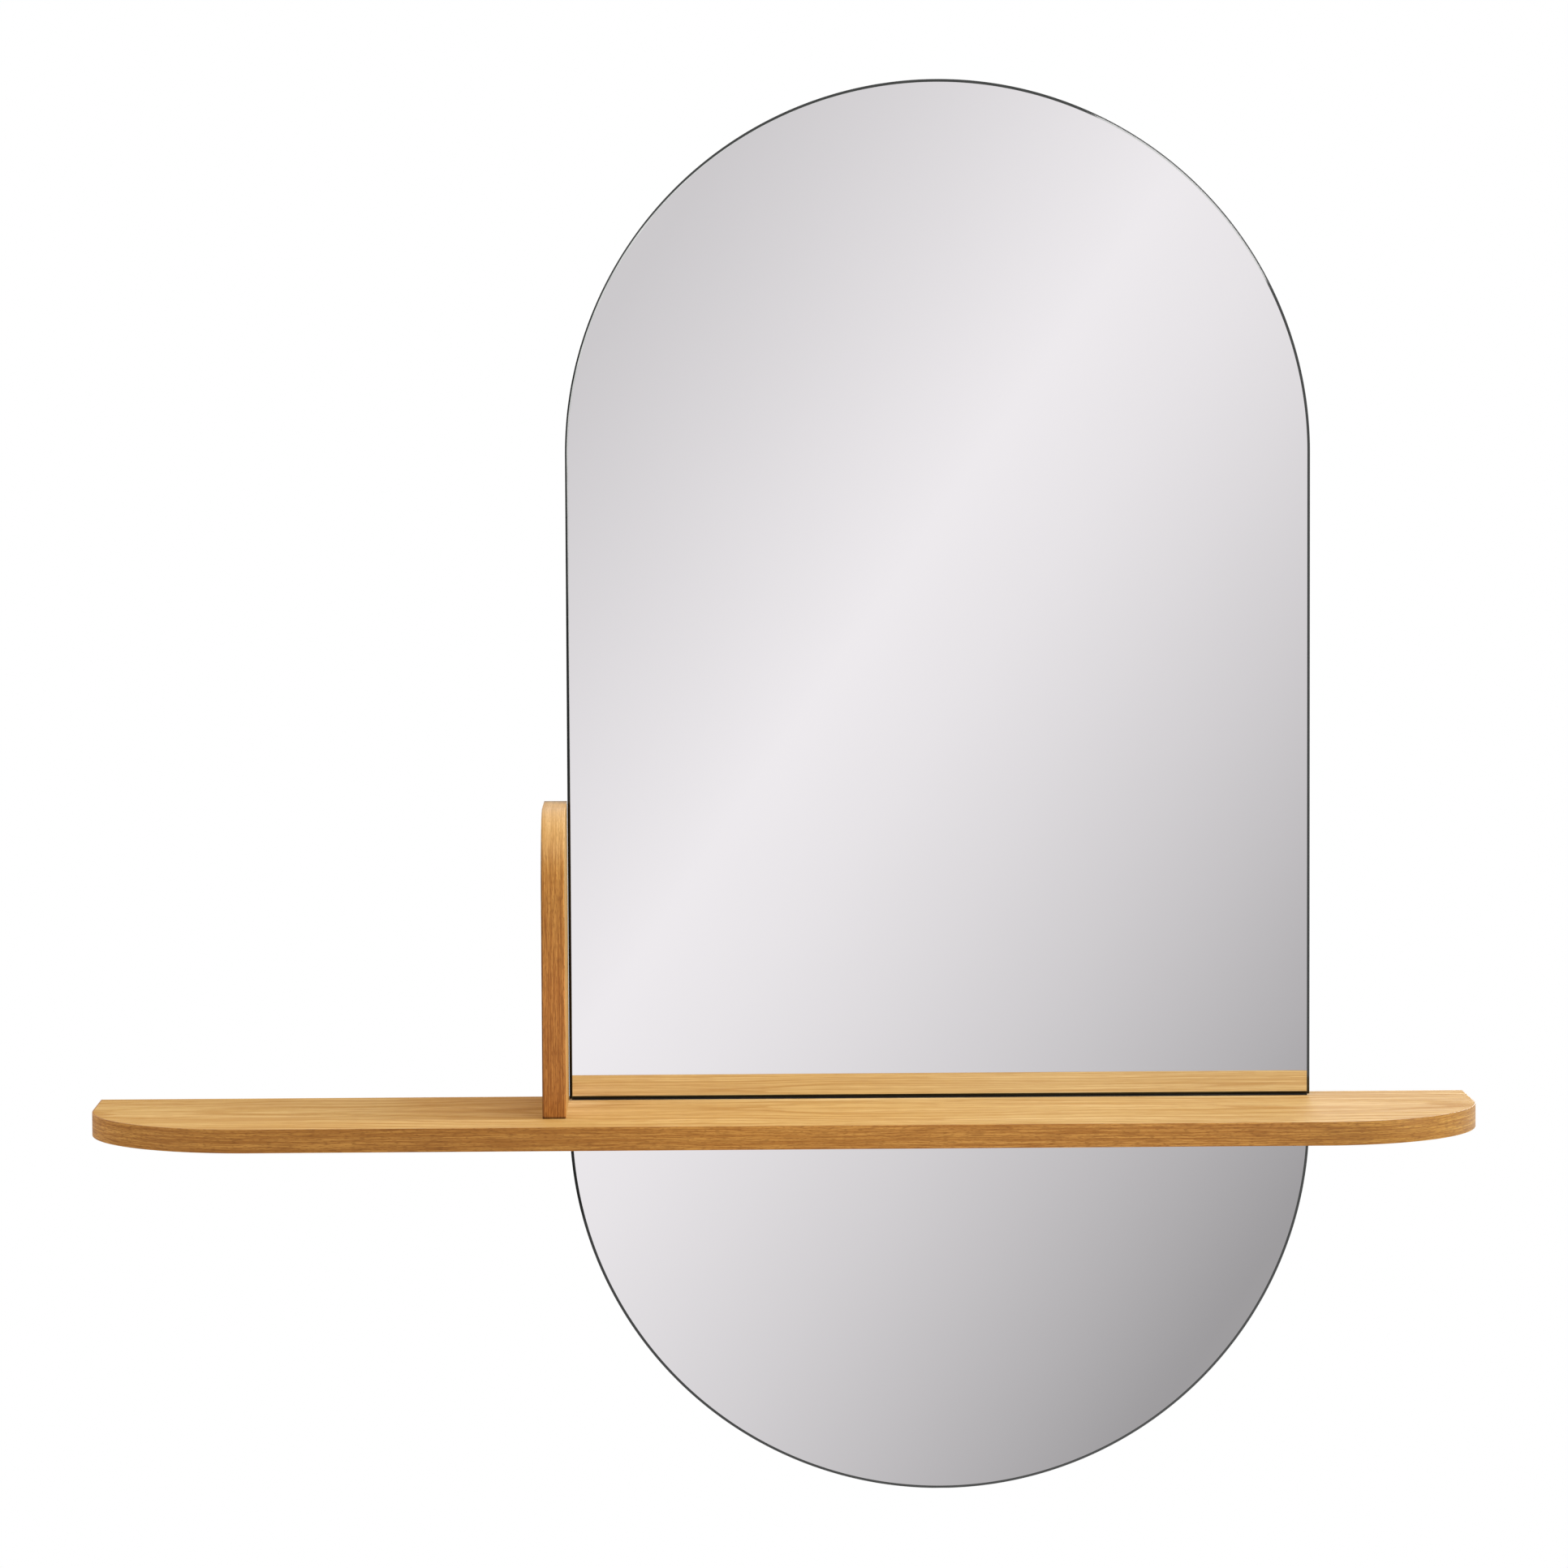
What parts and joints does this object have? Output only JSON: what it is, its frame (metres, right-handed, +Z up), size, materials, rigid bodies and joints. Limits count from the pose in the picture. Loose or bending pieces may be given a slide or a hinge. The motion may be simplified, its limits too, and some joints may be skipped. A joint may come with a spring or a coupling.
{
  "type": "mirror with shelf",
  "caption": "Frameless capsule-shaped wall mirror crossed by a round-cornered oak shelf that overhangs to one side, with a small rounded oak upright standing on the shelf beside the glass.",
  "frame": {"origin": "on the wall plane, midway between the entry holes of the two keyhole plates in the back of the panel", "axes": "+Z up, +Y into the wall so the mirror faces -Y, +X to the viewer's right"},
  "size_m": [1.109, 0.205, 1.1406],
  "materials": {
    "silvered_glass": "clear silvered float glass with a polished arris",
    "black_rubber": "matt black rubber",
    "black_panel": "fibreboard painted matt black",
    "foam_tape": "white closed-cell foam",
    "adhesive": "cured mirror adhesive",
    "fibreboard": "bare fibreboard",
    "oak_face": "honey-coloured oak veneer, satin lacquer",
    "oak_edge": "oak edge banding, satin lacquer, grain along the edge",
    "zinc_steel": "zinc-plated steel",
    "beech": "fluted beech",
    "cap_plastic": "oak-coloured matt plastic"
  },
  "bodies": {
    "root": {"upper_mirror_glass": "silvered_glass", "lower_mirror_glass": "silvered_glass", "glass_seat_strip": "black_rubber", "backing_panel": "black_panel", "upper_foam_tapes": "foam_tape", "lower_foam_tapes": "foam_tape", "upper_adhesive_beads": "adhesive", "lower_adhesive_beads": "adhesive", "shelf_core": "fibreboard", "shelf_top_veneer": "oak_face", "shelf_bottom_veneer": "oak_face", "shelf_edge_band": "oak_edge", "upright_core": "fibreboard", "upright_left_veneer": "oak_face", "upright_right_veneer": "oak_face", "upright_edge_band": "oak_edge", "shelf_screws": "zinc_steel", "shelf_dowels": "beech", "upright_screws": "zinc_steel", "upright_dowels": "beech", "upright_screw_caps": "cap_plastic", "panel_hanger_left": "zinc_steel", "panel_hanger_right": "zinc_steel", "panel_hanger_screws": "zinc_steel", "wing_hanger_left": "zinc_steel", "wing_hanger_right": "zinc_steel", "wing_hanger_screws": "zinc_steel"}
  },
  "joints": []
}
